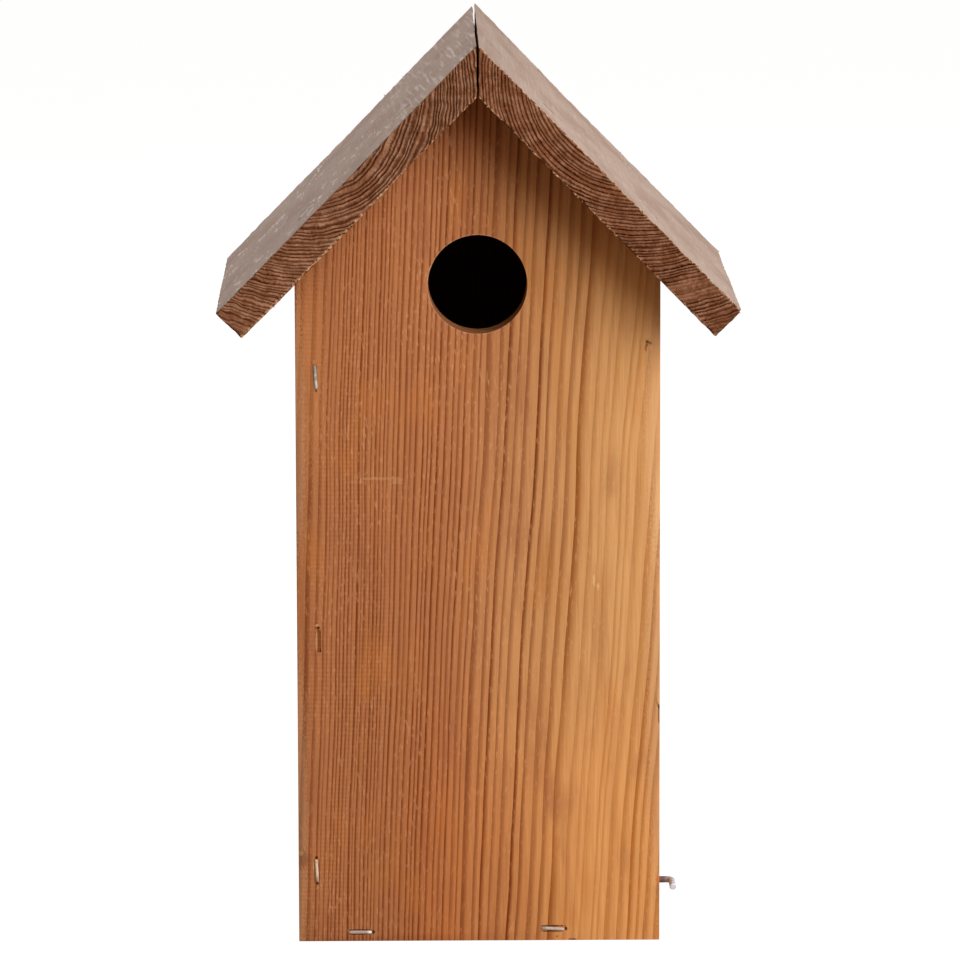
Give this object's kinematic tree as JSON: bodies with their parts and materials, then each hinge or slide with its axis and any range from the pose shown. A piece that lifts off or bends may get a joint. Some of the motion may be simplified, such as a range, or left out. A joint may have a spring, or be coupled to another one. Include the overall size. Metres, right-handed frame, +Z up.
{
  "type": "nest box",
  "caption": "Wooden nest box with a round entrance hole, a steep gabled roof of two mitred boards, a side that swings out for cleaning and a bent wire hook that keeps it shut.",
  "frame": {"origin": "on the ground under the middle of the roof, which is the bottom centre of the bounding box", "axes": "+Z up, -Y out of the front with the entrance hole, +X to the right seen from the front, towards the side that swings out"},
  "size_m": [0.237, 0.2, 0.4163],
  "materials": {
    "planed_larch_front": "planed larch, upright grain with dark late-wood lines, clear weathered oil tone",
    "planed_larch": "planed larch boards with a little saw marking",
    "rough_sawn_larch": "rough-sawn roof boards, greyed upper faces and brown end grain",
    "galvanised_wire": "dull zinc-plated wire",
    "galvanised_staple": "dull zinc-plated staple wire",
    "nail_steel": "dark plain steel nail"
  },
  "bodies": {
    "root": {"front_wall": "planed_larch_front", "back_wall": "planed_larch", "left_wall": "planed_larch", "floor_board": "planed_larch", "roof_left": "rough_sawn_larch", "roof_right": "rough_sawn_larch", "pivot_nail_front": "nail_steel", "pivot_nail_back": "nail_steel", "front_side_staple_1": "galvanised_staple", "front_side_staple_2": "galvanised_staple", "front_side_staple_3": "galvanised_staple", "front_floor_staple_1": "galvanised_staple", "front_floor_staple_2": "galvanised_staple", "back_side_staple_1": "galvanised_staple", "back_side_staple_2": "galvanised_staple", "back_side_staple_3": "galvanised_staple", "back_floor_staple_1": "galvanised_staple", "back_floor_staple_2": "galvanised_staple", "left_floor_staple_1": "galvanised_staple", "left_floor_staple_2": "galvanised_staple", "roof_left_staple_1": "galvanised_staple", "roof_left_staple_2": "galvanised_staple", "roof_left_staple_3": "galvanised_staple", "roof_left_staple_4": "galvanised_staple", "roof_right_staple_1": "galvanised_staple", "roof_right_staple_2": "galvanised_staple", "roof_right_staple_3": "galvanised_staple", "roof_right_staple_4": "galvanised_staple"},
    "clean_out_side": {"clean_out_side": "planed_larch"},
    "latch_hook": {"latch_hook": "galvanised_wire"}
  },
  "joints": [
    {"name": "side_hinge", "type": "hinge", "parent": "root", "child": "clean_out_side", "pos_m": [0.0762, 0.015, 0.278], "axis": [0, -1, 0], "range_deg": [0, 80]},
    {"name": "hook_turn", "type": "hinge", "parent": "root", "child": "latch_hook", "pos_m": [0.083, -0.062, 0.0267], "axis": [1, 0, 0], "range_deg": [0, 180]}
  ]
}
